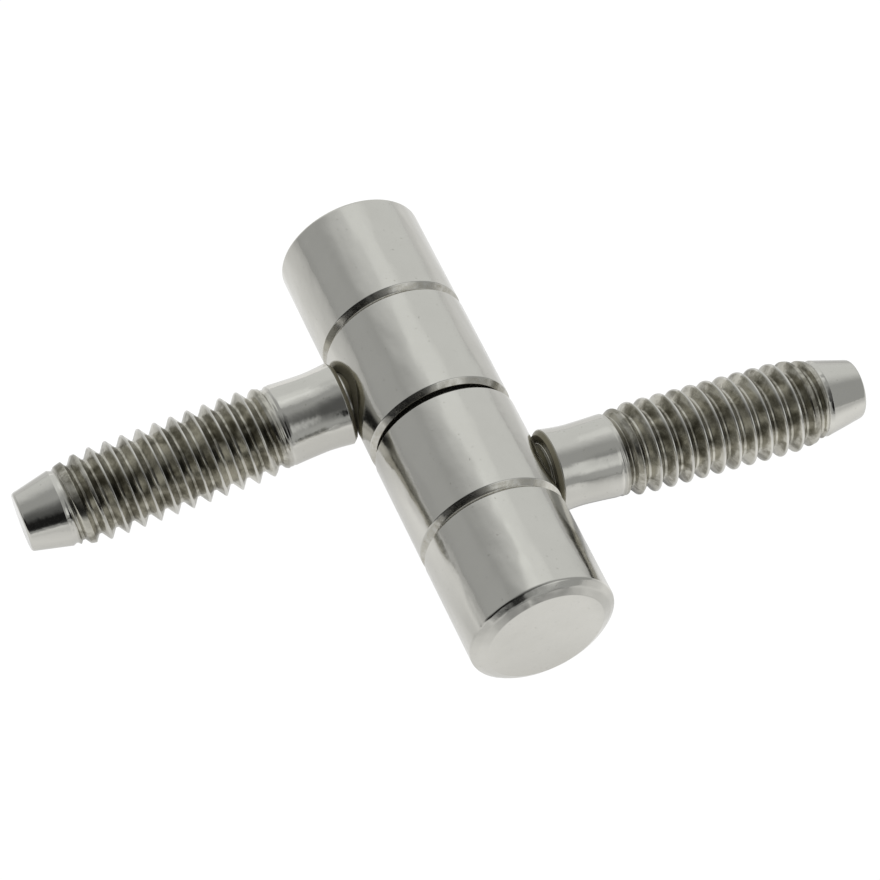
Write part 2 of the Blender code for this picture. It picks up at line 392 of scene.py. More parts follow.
def mixed_shaders(tree, place, share, first, second):
    """A shader between two others, which are the results of two nodes."""
    inputs = {0: share, 1: first.outputs[0], 2: second.outputs[0]}
    return add_node(tree, "MixShader", place, inputs).outputs[0]


def noise(tree, place, vector, scale, detail, roughness, distortion=0.0):
    """Height of a cloudy pattern."""
    inputs = {
        "Vector": vector, "Scale": scale, "Detail": detail,
        "Roughness": roughness, "Distortion": distortion,
    }
    return add_node(tree, "TexNoise", place, inputs).outputs["Fac"]


def parts_of(tree, place, vector):
    """The X, Y and Z of a vector."""
    return add_node(tree, "SeparateXYZ", place, {"Vector": vector}).outputs


def share_along(tree, place, vector, axis):
    """How far a vector reaches along an axis."""
    return add_node(
        tree, "VectorMath", place, {0: vector, 1: axis}, operation="DOT_PRODUCT"
    ).outputs["Value"]


def diagonal(tree, place, a, b):
    """Distance whose shares along two square axes are a and b."""
    x, y = place
    square = math_node(tree, (x, y), "MULTIPLY", a, a)
    square = math_node(tree, (x + 170, y), "MULTIPLY_ADD", b, b, square)
    return math_node(tree, (x + 340, y), "SQRT", square)


def distance_from_axis(tree, place, vector):
    """Distance of the shaded point from its piece's own Z axis, in metres."""
    parts = parts_of(tree, place, vector)
    return diagonal(tree, (place[0] + 170, place[1]), parts["X"], parts["Y"])


def new_group(name, inputs, outputs):
    """An empty node group, the sockets that it is given and those that it gives."""
    group = bpy.data.node_groups.new(name, "ShaderNodeTree")
    for label, kind, default in inputs:
        socket = group.interface.new_socket(
            name=label, in_out="INPUT", socket_type="NodeSocket" + kind
        )
        if default is not None:
            socket.default_value = default
    for label, kind in outputs:
        group.interface.new_socket(name=label, in_out="OUTPUT", socket_type="NodeSocket" + kind)
    start, end = group.nodes.new("NodeGroupInput"), group.nodes.new("NodeGroupOutput")
    start.location, end.location = (-1000, 0), (500, 0)
    return group, start.outputs, end.inputs


def plating_tone_group():
    """Faint clouds of tone and polish over a surface."""
    group, given, result = new_group(
        "Plating tone",
        [
            ("Vector", "Vector", None),
            ("Bright", "Color", (0.6, 0.6, 0.6, 1.0)),
            ("Dull", "Color", (0.5, 0.5, 0.5, 1.0)),
            ("Cloud scale", "Float", 260.0),
            ("Cloud share", "Float", 0.12),
            ("Roughness", "Float", 0.13),
            ("Roughness spread", "Float", 0.05),
        ],
        [("Color", "Color"), ("Roughness", "Float")],
    )
    vector, scale = given["Vector"], given["Cloud scale"]
    cloud = noise(group, (-650, 200), vector, scale, 5.0, 0.55)
    amount = math_node(group, (-420, 250), "MULTIPLY", cloud, given["Cloud share"])
    tone = mixed(group, (-200, 200), amount, given["Bright"], given["Dull"])
    fine_scale = math_node(group, (-820, -250), "MULTIPLY", scale, 7.0)
    smear = noise(group, (-650, -150), vector, fine_scale, 3.0, 0.6, 0.4)
    centred = math_node(group, (-420, -100), "SUBTRACT", smear, 0.5)
    rough = math_node(
        group, (-200, -100), "MULTIPLY_ADD",
        centred, given["Roughness spread"], given["Roughness"], clamp=True,
    )
    feed(group, tone, result["Color"])
    feed(group, rough, result["Roughness"])


def fine_relief_group():
    """Height of what polishing leaves: slow waves, a swell, lines round the axis, small pits."""
    group, given, result = new_group(
        "Fine relief",
        [
            ("Vector", "Vector", None),
            ("Wave scale", "Float", 230.0),
            ("Wave", "Float", 5.0),
            ("Swell scale", "Float", 700.0),
            ("Swell", "Float", 1.0),
            ("Line scale", "Float", 9000.0),
            ("Lines", "Float", 0.1),
            ("Pit scale", "Float", 3200.0),
            ("Pits", "Float", 1.0),
        ],
        [("Height", "Float"), ("Pit mask", "Float")],
    )
    vector = given["Vector"]
    swell = noise(group, (-650, 350), vector, given["Swell scale"], 2.0, 0.45)
    drawn_out = add_node(
        group, "VectorMath", (-820, 600), {0: vector, 1: (1.0, 1.0, 0.4)}, operation="MULTIPLY"
    ).outputs["Vector"]
    wave = noise(group, (-650, 600), drawn_out, given["Wave scale"], 2.5, 0.45)
    height = parts_of(group, (-650, 50), vector)["Z"]
    wandering = math_node(group, (-450, 60), "MULTIPLY_ADD", swell, 0.00005, height)
    line = add_node(
        group, "TexNoise", (-240, 60),
        {"W": wandering, "Scale": given["Line scale"], "Detail": 3.0, "Roughness": 0.7},
        noise_dimensions="1D",
    ).outputs["Fac"]
    pit = noise(group, (-650, -250), vector, given["Pit scale"], 1.0, 0.5)
    pit_mask = ramp(group, (-420, -250), pit, 0.70, 0.80, curve="SMOOTHSTEP")

    total = math_node(group, (-200, 350), "MULTIPLY", swell, given["Swell"])
    total = math_node(group, (0, 200), "MULTIPLY_ADD", line, given["Lines"], total)
    total = math_node(group, (150, 350), "MULTIPLY_ADD", wave, given["Wave"], total)
    sunk = math_node(group, (-200, -250), "MULTIPLY", pit_mask, given["Pits"])
    feed(group, math_node(group, (300, 100), "SUBTRACT", total, sunk), result["Height"])
    feed(group, pit_mask, result["Pit mask"])


def make_shared_groups():
    if "Plating tone" not in bpy.data.node_groups:
        plating_tone_group()
        fine_relief_group()


def place_groups(tree, vector, tone_values, relief_values):
    """The two shared groups, placed in a material with its own values."""
    placed = []
    for name, place, values in (
        ("Plating tone", (-500, 200), tone_values), ("Fine relief", (-500, -300), relief_values),
    ):
        inputs = {"Vector": vector, **values}
        node = add_node(tree, "Group", place, inputs, node_tree=bpy.data.node_groups[name])
        placed.append(node.outputs)
    return placed


# ---------------------------------------------------------------- materials

# Depth of the fine relief, in metres, where its height is 1
POLISHED_RELIEF, TURNED_RELIEF, MOULDED_RELIEF = 0.0000012, 0.0000015, 0.000006


def new_material(name, matrix):
    """A material with its shader, and coordinates in which Z is the piece's own axis."""
    material = bpy.data.materials.new(name)
    material.use_nodes = True
    tree = material.node_tree
    shader = tree.nodes["Principled BSDF"]
    shader.location, tree.nodes["Material Output"].location = (600, 0), (900, 0)
    inputs = {
        "Vector": add_node(tree, "TexCoord", (-1500, 0)).outputs["Object"],
        "Location": matrix.to_translation(),
        "Rotation": matrix.to_euler("XYZ"),
    }
    mapping = add_node(tree, "Mapping", (-1300, 0), inputs, vector_type="TEXTURE")
    return material, tree, shader, mapping.outputs["Vector"]


def feed_shader(tree, shader, base, rough, height, depth, strength=1.0):
    """Feed a shader its colour, its roughness and the bump of a height."""
    inputs = {"Height": height, "Strength": strength, "Distance": depth}
    bump = add_node(tree, "Bump", (300, -300), inputs)
    feed(tree, base, shader.inputs["Base Color"])
    feed(tree, rough, shader.inputs["Roughness"])
    feed(tree, bump.outputs["Normal"], shader.inputs["Normal"])


def thread_depth_mask(tree, vector, stud):
    """1 at the bottom of the thread, and 0 at its crest, on the neck and on the tip's cone."""
    radius = distance_from_axis(tree, (-1100, 600), vector)
    height = parts_of(tree, (-1100, 800), vector)["Z"]
    start, foot = stud.thread_start, stud.reach - stud.cone
    return product(
        tree, (-200, 700),
        ramp(tree, (-400, 600), radius, stud.crest - 0.00004, stud.crest - 0.00016),
        ramp(tree, (-700, 900), height, start + 0.0002, start + 0.0012),
        ramp(tree, (-700, 1100), height, foot - 0.0001, foot - 0.0005),
    )


def stud_seat_mask(tree, vector, stud):
    """1 on the end face and the chamfer of the stud's shoulder, which no wheel reaches, where
    painted shade and dirt go.
    """
    height = parts_of(tree, (-1100, -600), vector)["Z"]
    radius = distance_from_axis(tree, (-1100, -900), vector)
    edge = stud.shoulder_start + stud.shoulder_chamfer
    return product(
        tree, (-200, -650),
        ramp(tree, (-400, -600), height, edge, edge - 0.00012),
        ramp(tree, (-400, -900), radius, stud.spigot + 0.00002, stud.spigot + 0.00008),
    )


def barrel_seat_mask(tree, vector, stud):
    """1 on the barrel under the stud's shoulder, where painted shade and dirt go."""
    parts = parts_of(tree, (-1300, -600), vector)
    height = math_node(tree, (-1100, -650), "SUBTRACT", parts["Z"], stud.from_face)
    from_stud = diagonal(tree, (-900, -600), parts["Y"], height)
    return product(
        tree, (-200, -650),
        ramp(tree, (-400, -600), from_stud, stud.shoulder - 0.00005, stud.shoulder - 0.0002),
        math_node(tree, (-400, -850), "GREATER_THAN", parts["X"], 0.0),
    )


def groove_mask(tree, vector, barrel):
    """1, in speckles, down in the barrel's ring groove and on its bearing chamfer, where shade is
    painted.
    """
    radius = distance_from_axis(tree, (-1100, 1100), vector)
    height = parts_of(tree, (-1100, 1400), vector)["Z"]
    below_end = barrel.height - barrel.end_drop * 1.5
    speckle = noise(tree, (-700, 1600), vector, 2200.0, 4.0, 0.65)
    return product(
        tree, (-200, 1200),
        ramp(tree, (-400, 1100), radius, barrel.radius - 0.00002, barrel.radius - 0.0001),
        math_node(tree, (-700, 1400), "LESS_THAN", height, below_end),
        math_node(tree, (-500, 1600), "MULTIPLY_ADD", speckle, 2.6, -0.8, clamp=True),
    )


def dulled_by(tree, place, mask, surface, tint, roughness):
    """A surface's colour and roughness, turned to others where the mask is 1."""
    x, y = place
    base, rough = surface
    return (
        mixed(tree, (x, y + 250), mask, base, rgba(tint)),
        mixed(tree, (x, y), mask, rough, roughness, "FLOAT"),
    )


def nickel_material(name, matrix, relief_values, threaded=False):
    """Polished nickel, dull and darkened by painted shade with dirt where the stud meets its
    barrel, in the thread and in the stud's hole, and by painted shade down in the groove.
    """
    finish, stud = sizes("finish"), sizes("stud")
    material, tree, shader, vector = new_material(name, matrix)
    tone, relief = place_groups(
        tree, vector,
        {
            "Bright": rgba(finish.nickel), "Dull": rgba(finish.nickel_dull),
            "Cloud share": 0.45, "Cloud scale": 330.0,
            "Roughness": finish.polish - (0.03 if threaded else 0.0), "Roughness spread": 0.14,
        },
        relief_values,
    )
    pitted = mixed(
        tree, (-200, 300), relief["Pit mask"], tone["Color"], rgba(finish.nickel_dull)
    )
    surface = pitted, tone["Roughness"]
    if threaded:
        # Painted shade with dirt: patchy darker plating down at the bottom of the thread
        grime_and_shade = noise(tree, (-500, 900), vector, 1500.0, 4.0, 0.6)
        patchy = math_node(tree, (-300, 900), "MULTIPLY_ADD", grime_and_shade, 0.8, 0.55)
        root = thread_depth_mask(tree, vector, stud)
        root = math_node(tree, (-100, 850), "MULTIPLY", root, patchy, clamp=True)
        surface = dulled_by(tree, (0, 50), root, surface, finish.thread_dirt_and_shade, finish.dull)
        # Dark stains with painted shade: darker blotches down in the thread
        blotch = noise(tree, (-500, 1200), vector, 520.0, 5.0, 0.65, 0.3)
        blotch = ramp(tree, (-300, 1200), blotch, 0.42, 0.6, 0.92)
        stain_and_shade = product(tree, (-100, 1100), root, blotch)
        surface = dulled_by(
            tree, (120, 350), stain_and_shade, surface, finish.thread_stains_and_shade, finish.stained
        )
        seat = stud_seat_mask(tree, vector, stud)
    else:
        # Painted shade: darker plating down in the ring groove and on the bearing chamfer
        groove = groove_mask(tree, vector, sizes("barrel"))
        surface = dulled_by(
            tree, (0, 50), groove, surface, finish.groove_shade, finish.groove_dull
        )
        seat = barrel_seat_mask(tree, vector, stud)
    # Painted shade with dirt where stud and barrel meet
    surface = dulled_by(tree, (250, 50), seat, surface, finish.seat_dirt_and_shade, finish.seat_dull)
    if threaded:
        # Painted shade with dirt on the stud inside its hole
        height = parts_of(tree, (0, -900), vector)["Z"]
        face = stud.shoulder_start
        in_hole = ramp(tree, (200, -900), height, face - 0.00015, face - 0.00028)
        surface = dulled_by(
            tree, (400, 50), in_hole, surface, finish.hole_dirt_and_shade, finish.hole_dull
        )
    # The seat's painted shade and dirt take away part of the metal's shine
    metal = math_node(tree, (400, -200), "MULTIPLY_ADD", seat, -finish.seat_film_and_shade, 1.0)
    feed(tree, metal, shader.inputs["Metallic"])
    feed_shader(tree, shader, *surface, relief["Height"], POLISHED_RELIEF)
    return material


def turned_steel_material(name, matrix, tint, roughness, lines, line_scale):
    """Bare steel with the lines of a tool that went round its axis."""
    material, tree, shader, vector = new_material(name, matrix)
    shader.inputs["Metallic"].default_value = 1.0
    darker = [channel * 0.8 for channel in tint]
    tone, relief = place_groups(
        tree, vector,
        {
            "Bright": rgba(tint), "Dull": rgba(darker), "Cloud share": 0.35,
            "Roughness": roughness, "Roughness spread": 0.12,
        },
        {"Lines": lines, "Line scale": line_scale, "Swell": 0.4, "Pits": 0.0},
    )
    feed_shader(tree, shader, tone["Color"], tone["Roughness"], relief["Height"], TURNED_RELIEF)
    return material


def nylon_material():
    """Moulded black nylon with a fine spark-eroded grain and the sheen that turning gives it."""
    finish = sizes("finish")
    material, tree, shader, vector = new_material("black_nylon_moulded", half_matrix(FRAME_SIDE))
    worn = [channel * 2.2 for channel in finish.nylon]
    tone, relief = place_groups(
        tree, vector,
        {
            "Bright": rgba(finish.nylon), "Dull": rgba(worn), "Cloud share": 0.6,
            "Cloud scale": 900.0, "Roughness": 0.46, "Roughness spread": 0.2,
        },
        {"Lines": 0.0, "Swell": 1.0, "Swell scale": 6000.0, "Pits": 0.3, "Pit scale": 9000.0},
    )
    feed_shader(
        tree, shader, tone["Color"], tone["Roughness"], relief["Height"], MOULDED_RELIEF, 0.8
    )
    return material


# ---------------------------------------------------------------- pieces


def barrel_outline(barrel, stud, bore_depth):
    """Outline of a barrel from its outer end down its outside, and up its bore."""
    edge = barrel.edge
    foot = barrel.groove_height - barrel.groove_width / 2
    low = stud.from_face - stud.shoulder
    high = min(stud.from_face + stud.shoulder, foot - 0.0002)
    rings = 20              # round the cross hole, so that its edge stays smooth
    round_hole = [
        (barrel.radius, high + (low - high) * step / rings, 0.0) for step in range(rings + 1)
    ]
    bulge = (barrel.radius - 0.00055, barrel.height - 0.00036, 0.0012)     # of the end's chamfer
    return rounded([
        (0.0, barrel.height, 0.0),
        (barrel.radius - barrel.end_inset, barrel.height, edge * 2.2),
        bulge,
        (barrel.radius, barrel.height - barrel.end_drop, edge * 3.5),
        (barrel.radius, foot + barrel.groove_width, edge),
        (barrel.radius - barrel.groove_depth, barrel.groove_height, edge),
        (barrel.radius, foot, edge),
        *round_hole,
        (barrel.radius, barrel.bearing_chamfer, edge),
        (barrel.radius - barrel.bearing_chamfer, 0.0, edge),
        (barrel.recess, 0.0, edge / 2),
        (barrel.recess, barrel.recess_depth, edge / 2),
        (barrel.bore, barrel.recess_depth, edge),
        (barrel.bore, bore_depth, edge / 2),
        (0.0, bore_depth + barrel.bore_point, 0.0),
    ])


def mark_bore(obj, matrix):
    """Give the second material to the faces inside the bore and on the bearing face's recess."""
    barrel = sizes("barrel")
    reach, below = barrel.recess + 0.0003, barrel.height - 0.0005
    inverse = matrix.inverted()
    for polygon in obj.data.polygons:
        centre = inverse @ polygon.center
        if math.hypot(centre.x, centre.y) < reach and centre.z < below:
            polygon.material_index = 1


class HINGE_OT_barrels(bpy.types.Operator):
    """Turn both barrels and cut their cross holes"""

    bl_idname = "hinge.barrels"
    bl_label = "Barrels"

    def execute(self, context):
        make_shared_groups()
        barrel, stud, finish = sizes("barrel"), sizes("stud"), sizes("finish")
        for name, side, body, bore_depth in (
            ("frame_barrel", FRAME_SIDE, "frame_half", barrel.frame_bore),
            ("door_barrel", DOOR_SIDE, "door_half", barrel.door_bore),
        ):
            matrix = half_matrix(side)
            obj = turn(name + "_turned", barrel_outline(barrel, stud, bore_depth), barrel.segments)
            hole, top, bottom = stud.spigot + stud.clearance, barrel.radius * 2, barrel.bore / 2
            cutter = turn(
                name + "_hole",
                [(0.0, top), (hole, top), (hole, bottom), (0.0, bottom)],
                stud.segments,
            )
            cutter.matrix_world = across_matrix()
            bore_out(obj, cutter)
            put_in_place(obj, matrix)
            relief = {"Lines": 0.05, "Wave": 230.0, "Swell": 14.0, "Pits": 1.5}
            plating = nickel_material(name + "_nickel", matrix, relief)
            bore = turned_steel_material(
                name + "_bore_steel", matrix, finish.bore_steel, 0.32, 1.2, 6000.0
            )
            finish_piece(obj, name, body, "polished_nickel", plating, bore)
            mark_bore(obj, matrix)
        return {"FINISHED"}


def tooth_outline(stud):
    """One pitch of the thread from root to root, with its crest at height 0."""
    half, top, foot = stud.pitch / 2, stud.crest_width / 2, stud.root_width / 2
    corners = rounded(
        [
            (stud.root, -half, 0.0),
            (stud.root, foot - half, stud.root_edge),
            (stud.crest, -top, stud.crest_edge),
            (stud.crest, 0.0, 0.0),
            (stud.crest, top, stud.crest_edge),
            (stud.root, half - foot, stud.root_edge),
            (stud.root, half, 0.0),
        ],
        steps=3, support=0.0,
    )
    facet = 0.00014         # longest facet across a flank
    points = [corners[0]]
    for (r0, z0), (r1, z1) in zip(corners, corners[1:]):
        parts = math.ceil(math.hypot(r1 - r0, z1 - z0) / facet)
        for part in range(1, parts + 1):
            points.append((r0 + (r1 - r0) * part / parts, z0 + (z1 - z0) * part / parts))
    return points


def eased(t):
    """A soft rise from 0 to 1 while t goes from 0 to 1."""
    t = min(max(t, 0.0), 1.0)
    return t * t * (3 - 2 * t)


def thread_radius(stud, radius, z, turned):
    """Radius of the thread's skin at a height and an angle, from that of an endless thread."""
    start, end = stud.thread_start, stud.reach - stud.cone
    above = radius - stud.blank
    above *= eased((z - start) / (stud.run_out if above > 0 else stud.root_run_out))
    seams, seam_rise, seam_end, seam_fade = 4, 0.0002, 0.0008, 0.0009
    seam = math.cos(seams * (FULL_TURN * z / stud.pitch - turned))
    near_start = eased((z - start) / seam_rise) * (1 - eased((z - start - seam_end) / seam_fade))
    shaped = stud.blank + above + stud.seam_depth * (seam - 1) / 2 * near_start
    lead, lead_bend, groove_side = min(max((end - z) / stud.lead, 0.0), 1.0), 2.2, 0.0004
    limit = stud.crest - (stud.crest - stud.cone_foot) * (1 - lead) ** lead_bend
    shaped = min(shaped, limit)
    return stud.end_groove + (shaped - stud.end_groove) * eased((end - z) / groove_side)


def wind_thread(stud, turn_angle):
    """The thread's skin between two plain circles, from the neck's run-out to the tip's cone."""
    start, end = stud.thread_start, stud.reach - stud.cone
    turns = math.ceil((end - start) / stud.pitch) + 2
    lowest = start - 1.5 * stud.pitch
    obj = draw_outline("thread", [(r, z + lowest) for r, z in tooth_outline(stud)])
    bpy.ops.object.modifier_add(type="SCREW")
    screw = obj.modifiers[-1]
    screw.axis = "Z"
    screw.angle = FULL_TURN
    screw.screw_offset = stud.pitch
    screw.iterations = turns
    screw.steps = screw.render_steps = stud.segments
    screw.use_smooth_shade = False
    bpy.ops.object.modifier_apply(modifier=screw.name)
    facet_turn = FULL_TURN / stud.segments
    obj.rotation_euler.z = round(turn_angle / facet_turn) * facet_turn
    bpy.ops.object.transform_apply(location=False, rotation=True, scale=False)

    snap = 0.00005
    for vertex in obj.data.vertices:
        x, y, z = vertex.co
        z = start if z < start + snap else end if z > end - snap else z
        radius = math.hypot(x, y)
        shaped = thread_radius(stud, radius, z, math.atan2(y, x))
        vertex.co = (x * shaped / radius, y * shaped / radius, z)
    return close_up(obj)


def neck_outline(stud):
    """Outline from the thread's start down the neck, round the shoulder and along the spigot."""
    chamfer, spigot_edge = stud.shoulder_chamfer, 0.00006
    top, foot, steps, bend = stud.thread_start, stud.shoulder_start + chamfer + 0.0002, 24, 1.5
    points = []
    for step in range(steps, -1, -1):
        height = foot + (top - foot) * step / steps
        from_waist = height - stud.waist_at
        end, radius = (top, stud.blank) if from_waist > 0 else (foot, stud.shoulder - 0.00002)
        share = abs(from_waist / (end - stud.waist_at)) ** bend
        points.append((stud.waist + (radius - stud.waist) * share, height))
    return points[:-1] + rounded([
        (*points[-1], 0.0),
        (stud.shoulder, stud.shoulder_start + chamfer, 0.00008),
        (stud.shoulder - chamfer, stud.shoulder_start, 0.00005),
        (stud.spigot, stud.shoulder_start, spigot_edge),
        (stud.spigot, stud.spigot_end, spigot_edge),
        (0.0, stud.spigot_end, 0.0),
    ])


def tip_outline(stud):
    """Outline of the tip from its middle down the cone to the thread's end."""
    return rounded([
        (0.0, stud.reach, 0.0),
        (stud.tip, stud.reach, stud.tip_edge),
        (stud.cone_foot, stud.reach - stud.cone + 0.0003, 0.00006),
        (stud.end_groove, stud.reach - stud.cone, 0.0),
    ])


class HINGE_OT_studs(bpy.types.Operator):
    """Turn and thread both studs"""

    bl_idname = "hinge.studs"
    bl_label = "Studs"

    def execute(self, context):
        make_shared_groups()
        stud = sizes("stud")
        for name, side, body, phase in (
            ("frame_stud", FRAME_SIDE, "frame_half", math.radians(-128)),
            ("door_stud", DOOR_SIDE, "door_half", math.radians(11)),
        ):
            pieces = [
                wind_thread(stud, phase),
                turn("neck", neck_outline(stud), stud.segments),
                turn("tip", tip_outline(stud), stud.segments),
            ]
            deselect_all()
            for piece in pieces:
                piece.select_set(True)
            bpy.context.view_layer.objects.active = pieces[0]
            bpy.ops.object.join()
            obj = close_up(pieces[0])
            obj.name = obj.data.name = name + "_threaded"
            matrix = half_matrix(side) @ across_matrix()
            put_in_place(obj, matrix)
            relief = {
                "Lines": 0.1, "Wave": 110.0, "Swell": 13.0, "Swell scale": 1100.0, "Pits": 1.5,
            }
            plating = nickel_material(name + "_nickel", matrix, relief, threaded=True)
            finish_piece(obj, name, body, "polished_nickel", plating)
        return {"FINISHED"}


class HINGE_OT_pin(bpy.types.Operator):
    """Turn the pin and the washer on it"""

    bl_idname = "hinge.pin"
    bl_label = "Pin and washer"

    def execute(self, context):
        make_shared_groups()
        pin, barrel, finish = sizes("pin"), sizes("barrel"), sizes("finish")
        matrix = half_matrix(FRAME_SIDE)
        shaft = turn(
            "hinge_pin_ground",
            rounded([
                (0.0, pin.seat, 0.0),
                (pin.radius - pin.chamfer, pin.seat, 0.0001),
                (pin.radius, pin.seat - pin.chamfer, 0.0003),
                (pin.radius, pin.chamfer - pin.free, 0.0003),
                (pin.radius - pin.chamfer, -pin.free, 0.0001),
                (0.0, -pin.free, 0.0),
            ]),
            barrel.segments,
        )
        put_in_place(shaft, matrix)
        steel = turned_steel_material("ground_steel_pin", matrix, finish.steel, 0.2, 0.5, 14000.0)
        finish_piece(shaft, "hinge_pin", "frame_half", "ground_steel", steel)

        half, edge = pin.washer_height / 2, pin.washer_edge
        middle = (pin.washer_inner + pin.washer_outer) / 2
        ring = turn(
            "thrust_washer_moulded",
            rounded([
                (middle, half, 0.0),
                (pin.washer_outer, half, edge),
                (pin.washer_outer, -half, edge),
                (pin.washer_inner, -half, edge),
                (pin.washer_inner, half, edge),
                (middle, half, 0.0),
            ]),
            barrel.segments,
        )
        put_in_place(ring, matrix @ Matrix.Translation((0.0, 0.0, -barrel.gap / 2)))
        finish_piece(ring, "thrust_washer", "washer", "black_nylon", nylon_material())
        return {"FINISHED"}


# ---------------------------------------------------------------- stage

LIGHT_ALL_ROUND = 0.45
LEAST_LIGHT = 0.015
# Soft areas of the studio: azimuth from -Y towards +X, elevation, half angles of the even core
# and of the outer edge, all in degrees, and the light that the area adds
SOFT_AREAS = (
    (155.0, 24.0, 28.0, 61.0, 0.40),
    (172.0, 70.0, 6.0, 15.0, 0.22),
    (158.0, 54.0, 5.0, 17.0, 0.12),
    (-126.0, 22.0, 8.0, 22.0, 0.05),
    (8.0, 20.0, 14.0, 23.0, 0.055),
    (-94.0, 4.0, 9.0, 22.0, -0.26),
    (-143.0, 5.0, 6.0, 15.0, 0.18),
    (29.0, 33.0, 9.0, 21.0, 0.46),
    (-21.0, 20.5, 14.0, 16.0, -0.32),
    (-13.0, 3.0, 5.0, 11.0, -0.12),
    (-56.0, 14.0, 10.0, 36.0, -0.43),
    (-20.0, 46.0, 11.0, 42.0, -0.33),
)

# Glow of the floor by the hinge: along its middle, what is left far off, and how fast it fades
# to the sides, per metre
MIDDLE_GLOW, FAR_GLOW, FADE = 0.50, 0.14, 36.0
# A strip along each stud: its light, half width with and without its soft edge, and the share
# of it on the right
STRIP_LIGHT, STRIP_NEAR, STRIP_FAR, STRIP_RIGHT = 0.30, 0.006, 0.018, 0.5
# A round spot before the frame barrel's end: its light, middle on Y, and radii
SPOT_LIGHT, SPOT_MIDDLE, SPOT_NEAR, SPOT_FAR = 0.07, -0.027, 0.008, 0.020

# Patches of the floor's glow: the light that each adds, then its soft edges. An edge is a
# direction as shares of X and Y, and how far along it the patch starts and is at its full.
FLOOR_PATCHES = (
    # behind the hinge, and far behind its right stud
    (0.13, (0.0, 1.0, 0.010, 0.050)),
    (0.16, (-0.7, 1.0, -0.018, -0.006), (1.0, 0.0, 0.015, 0.045)),
    # in front of the hinge, to its right, in its middle and far off
    (-0.20, (0.0, 1.0, -0.014, -0.034), (1.0, 0.0, 0.0065, 0.00983)),
    (-0.50, (0.0, 1.0, -0.026, -0.052), (1.0, -0.3, -0.006, 0.006), (1.0, 0.0, 0.008, -0.002)),
    (0.09, (0.0, 1.0, -0.045, -0.070)),
    # in front of the tip of the right stud, and of the left one's
    (0.36, (1.0, 0.0, 0.0125, 0.0205), (0.0, 1.0, -0.006, -0.016), (1.9, 1.0, -0.012, 0.004)),
    (0.34, (1.0, 0.0, -0.0305, -0.0515), (0.0, 1.0, 0.002, -0.006), (0.0, 1.0, -0.100, -0.060)),
    # painted shade: less glow under the right stud's neck
    (
        -0.36, (0.0, 1.0, -0.0098, -0.0082), (0.0, 1.0, 0.0, -0.0015),
        (1.0, 0.0, 0.006, 0.008), (1.0, 0.0, 0.025, 0.019),
    ),
)

LAMP_PLACE = (0.05, 0.15, 0.9)
LAMP_WIDTH, LAMP_POWER = 0.9, 4.5       # metres and watts
# The camera was fitted to the photograph
CAMERA_PLACE = (-0.080296, -0.189915, 0.282343)
CAMERA_RIGHT = (0.92579, -0.37796, 0.0083)
CAMERA_AHEAD = (0.23193, 0.55049, -0.80198)


def direction(azimuth, elevation):
    a, e = math.radians(azimuth), math.radians(elevation)
    return Vector((math.sin(a) * math.cos(e), -math.cos(a) * math.cos(e), math.sin(e)))


def studio_world(stage):
    """Soft light from all round with lighter and darker areas, and a plain white backdrop."""
    world = bpy.data.worlds.new("Studio")
    bpy.context.scene.world = world
    world.use_nodes = True
    tree = world.node_tree
    tree.nodes.clear()
    towards = add_node(tree, "TexCoord", (-900, 0)).outputs["Generated"]
    total = LIGHT_ALL_ROUND
    for index, (azimuth, elevation, inner, outer, added) in enumerate(SOFT_AREAS):
        y = 300 - 220 * index
        near = share_along(tree, (-700, y), towards, direction(azimuth, elevation))
        edge, core = math.cos(math.radians(outer)), math.cos(math.radians(inner))
        area = ramp(tree, (-500, y), near, edge, core, added, curve="SMOOTHSTEP")
        total = math_node(tree, (-250, y), "ADD", area, total)
    total = math_node(tree, (-120, -300), "MAXIMUM", total, LEAST_LIGHT)
    inputs = {"Color": rgba(stage.tint), "Strength": total}
    light = add_node(tree, "Background", (0, 150), inputs)
    backdrop = add_node(tree, "Background", (0, -50), {"Color": (1.0, 1.0, 1.0, 1.0)})
    seen = add_node(tree, "LightPath", (0, 450)).outputs["Is Camera Ray"]
    mix = mixed_shaders(tree, (250, 100), seen, light, backdrop)
    add_node(tree, "OutputWorld", (450, 100), {"Surface": mix})


def glow_by_hinge(tree, x, y):
    """Glow of the floor by the hinge, with the strips along its studs and the spot at its end."""
    barrel, stud = sizes("barrel"), sizes("stud")
    aside = math_node(tree, (-1070, 400), "ABSOLUTE", x)
    aside = math_node(tree, (-900, 400), "SUBTRACT", aside, barrel.radius)
    aside = math_node(tree, (-730, 400), "MAXIMUM", aside, 0.0)
    fading = math_node(tree, (-560, 400), "MULTIPLY", aside, -FADE)
    fading = math_node(tree, (-390, 400), "EXPONENT", fading)
    glow = math_node(tree, (-220, 400), "MULTIPLY_ADD", fading, MIDDLE_GLOW, FAR_GLOW)

    side = math_node(tree, (-1070, 100), "SIGN", x)
    stud_line = stud.from_face + barrel.gap / 2
    from_stud = math_node(tree, (-900, 100), "MULTIPLY_ADD", side, stud_line, y)
    from_stud = math_node(tree, (-730, 100), "ABSOLUTE", from_stud)
    strip = product(
        tree, (-220, 100),
        ramp(tree, (-560, 100), from_stud, STRIP_NEAR, STRIP_FAR, 0.0, STRIP_LIGHT),
        math_node(tree, (-560, -150), "MULTIPLY_ADD", aside, 150.0, -0.5, clamp=True),
        ramp(tree, (-390, -150), side, -1.0, 1.0, STRIP_RIGHT, 1.0),
    )
    glow = math_node(tree, (150, 300), "ADD", glow, strip)

    along = math_node(tree, (-1070, -400), "SUBTRACT", y, SPOT_MIDDLE)
    from_middle = diagonal(tree, (-900, -400), x, along)
    spot = ramp(tree, (-390, -400), from_middle, SPOT_NEAR, SPOT_FAR, 0.0, SPOT_LIGHT)
    return math_node(tree, (300, 300), "ADD", glow, spot)


